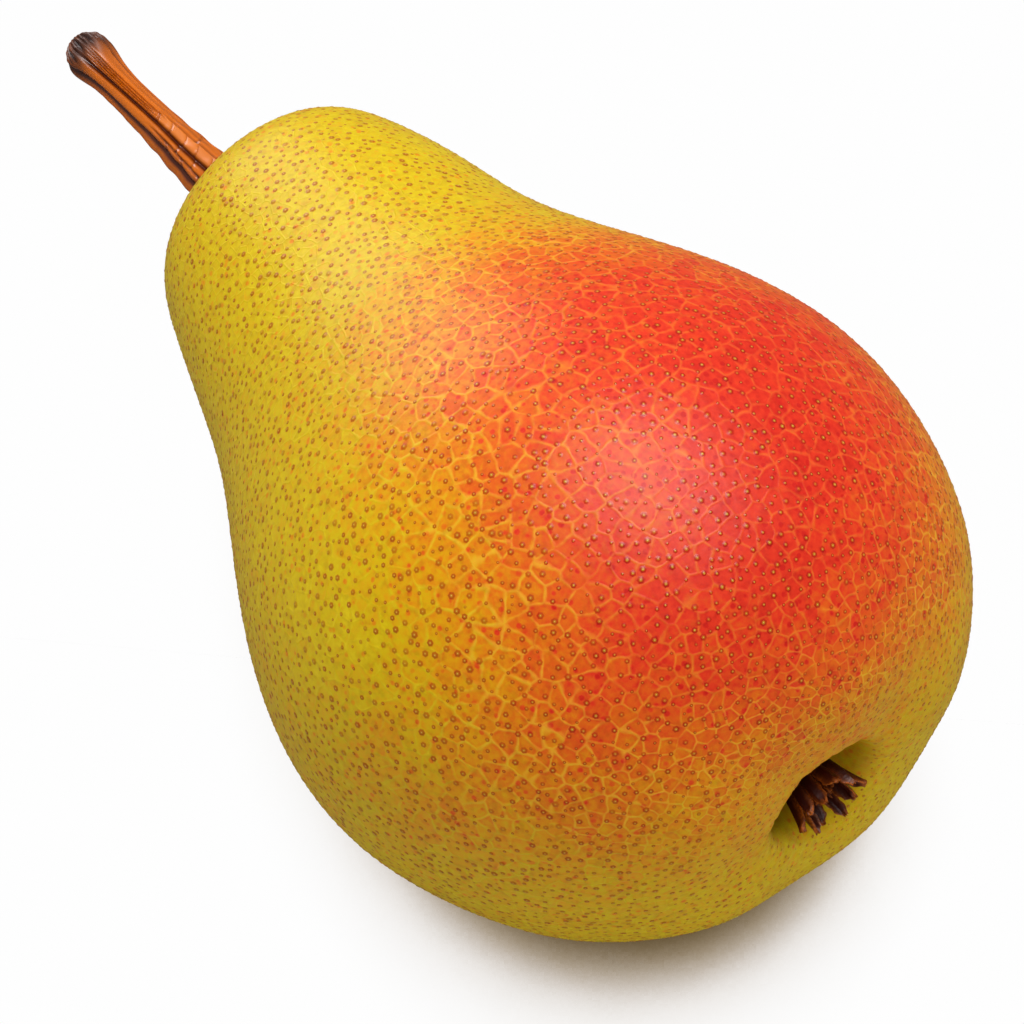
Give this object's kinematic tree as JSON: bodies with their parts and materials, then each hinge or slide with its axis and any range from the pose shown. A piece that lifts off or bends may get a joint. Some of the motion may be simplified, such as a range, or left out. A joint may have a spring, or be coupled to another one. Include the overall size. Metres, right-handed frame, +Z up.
{
  "type": "pear",
  "caption": "Ripe dessert pear lying on its side, with a ridged woody stem in its pit and a dried calyx with stamens in the eye.",
  "frame": {"origin": "middle of the flat rest spot under the belly", "axes": "+X towards the eye, -X towards the stem, +Z up; the pear's own axis rises 11 degrees towards the eye"},
  "size_m": [0.1201, 0.0682, 0.0668],
  "materials": {
    "skin": "waxy satin fruit skin, yellow with a red blush and fine raised lenticels",
    "bark": "glossy brown woody stalk with lengthwise ridges, darker at its knob",
    "dry_sepals": "dried dark red-brown sepals",
    "dry_stamens": "dried, nearly black stamens and styles"
  },
  "bodies": {
    "root": {"fruit": "skin", "stem": "bark", "calyx": "dry_sepals", "stamens": "dry_stamens"}
  },
  "joints": []
}
